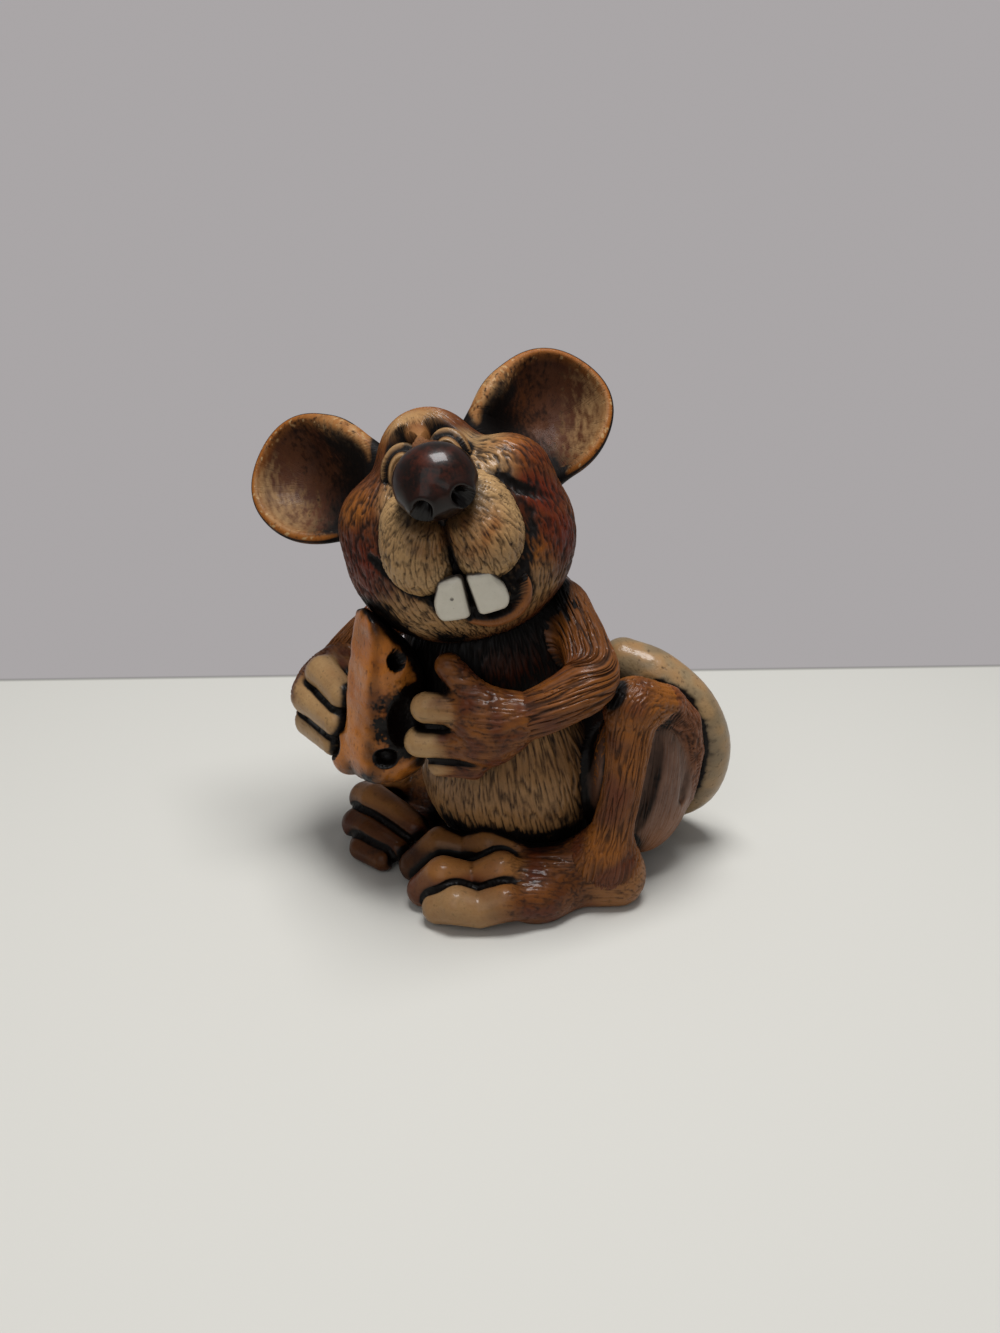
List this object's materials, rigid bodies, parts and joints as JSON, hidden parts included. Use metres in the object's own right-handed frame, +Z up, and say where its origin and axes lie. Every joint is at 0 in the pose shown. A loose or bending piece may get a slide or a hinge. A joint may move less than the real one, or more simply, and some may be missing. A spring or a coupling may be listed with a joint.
{
  "type": "rat figurine",
  "caption": "Seated cartoon rat ornament with big dished ears and shut eyes, head tilted up, hugging a wedge of cheese, tail curled at its side.",
  "frame": {"origin": "centre of the bounding box at the height of the surface it stands on", "axes": "+Z up, -Y the way the body faces, +X the rat's left side"},
  "size_m": [0.0814, 0.0861, 0.1151],
  "materials": {
    "fur_brown": "satin varnish over dark brown paint",
    "fur_rust": "satin varnish over rust paint with dark wash",
    "fur_cream": "satin varnish over cream paint with dark wash",
    "paw_ochre": "satin varnish over ochre paint",
    "nose_black": "glossy varnish over black-brown paint",
    "tooth_white": "satin white paint",
    "cheese_orange": "glossy varnish over orange-brown paint",
    "tail_cream": "satin varnish over cream paint"
  },
  "bodies": {
    "root": {"torso": "fur_brown", "head": "fur_rust", "jaw": "fur_cream", "nose": "nose_black", "left_whisker_pad": "fur_cream", "right_whisker_pad": "fur_cream", "left_incisor": "tooth_white", "right_incisor": "tooth_white", "left_eyelid": "fur_brown", "right_eyelid": "fur_brown", "left_ear": "fur_rust", "right_ear": "fur_rust", "left_upper_arm": "fur_rust", "right_upper_arm": "fur_rust", "left_forearm": "fur_rust", "right_forearm": "fur_rust", "left_hand": "paw_ochre", "right_hand": "paw_ochre", "cheese": "cheese_orange", "left_thigh": "fur_rust", "right_thigh": "fur_rust", "left_shin": "fur_rust", "right_shin": "fur_rust", "left_foot": "paw_ochre", "right_foot": "paw_ochre", "tail": "tail_cream"}
  },
  "joints": []
}
